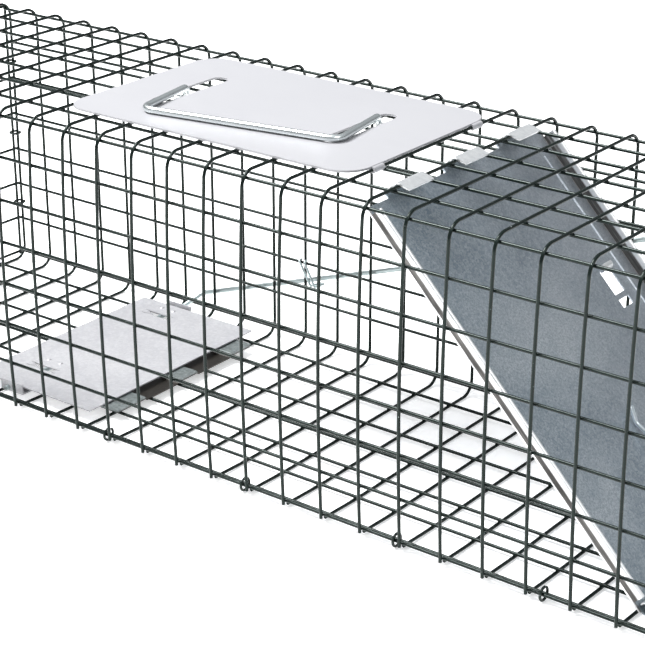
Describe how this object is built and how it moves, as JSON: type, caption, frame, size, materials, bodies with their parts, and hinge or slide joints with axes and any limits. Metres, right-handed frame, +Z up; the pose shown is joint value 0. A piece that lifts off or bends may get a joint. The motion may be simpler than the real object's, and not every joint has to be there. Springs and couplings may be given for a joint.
{
  "type": "live catch trap",
  "caption": "Box-shaped live catch trap of welded wire mesh with a sloping drop door, a trip pan and rod, and a carrying handle on a guard plate.",
  "frame": {"origin": "on the ground, at the middle of the cage's closed back end, under its first hoop wire", "axes": "+X along the cage towards the entrance, +Y across it towards the side with the trigger rod, +Z up"},
  "size_m": [0.6232, 0.196, 0.1914],
  "materials": {
    "mesh_wire": "thin dark green-black coating over galvanised wire, satin",
    "frame_wire": "thin dark coating over drawn wire, satin",
    "ring_wire": "galvanised, dull",
    "guard_plate": "pale grey, smooth satin",
    "bright_wire": "bright zinc plated",
    "door_sheet": "galvanised sheet with a fine spangle and light scratches",
    "pan_sheet": "galvanised sheet with a fine spangle",
    "rod_wire": "galvanised drawn rod"
  },
  "bodies": {
    "cage": {"near_side_mesh": "mesh_wire", "far_side_mesh": "mesh_wire", "top_mesh": "mesh_wire", "floor_mesh": "mesh_wire", "near_top_bends": "mesh_wire", "far_top_bends": "mesh_wire", "far_floor_bends": "mesh_wire", "seam_rings": "ring_wire", "back_panel_mesh": "mesh_wire", "back_panel_rings": "ring_wire", "front_frame": "frame_wire", "front_frame_rings": "ring_wire", "handle_plate": "guard_plate", "pan_rest_strip": "door_sheet", "pan_shaft_bearings": "door_sheet", "rod_guide_link": "ring_wire"},
    "door": {"door_panel": "door_sheet", "door_bottom_rod": "rod_wire"},
    "door_pull": {"door_pull": "bright_wire"},
    "handle": {"carry_handle": "bright_wire"},
    "trigger": {"trigger_rod": "rod_wire", "trip_pan": "pan_sheet", "pan_rivets": "rod_wire"}
  },
  "joints": [
    {"name": "door_hinge", "type": "hinge", "parent": "cage", "child": "door", "pos_m": [0.4318, 0, 0.18495], "axis": [0, -1, 0], "range_deg": [0, 41]},
    {"name": "pull_hinge", "type": "hinge", "parent": "door", "child": "door_pull", "pos_m": [0.59322, 0, 0.00997], "axis": [0, 1, 0], "range_deg": [0, 80]},
    {"name": "handle_hinge", "type": "hinge", "parent": "cage", "child": "handle", "pos_m": [0.3018, 0.0076, 0.1836], "axis": [-0.9857, -0.1685, 0], "range_deg": [0, 90]},
    {"name": "trigger_hinge", "type": "hinge", "parent": "cage", "child": "trigger", "pos_m": [0.1605, 0, 0.0061], "axis": [0, -1, 0], "range_deg": [0, 1.9]}
  ]
}
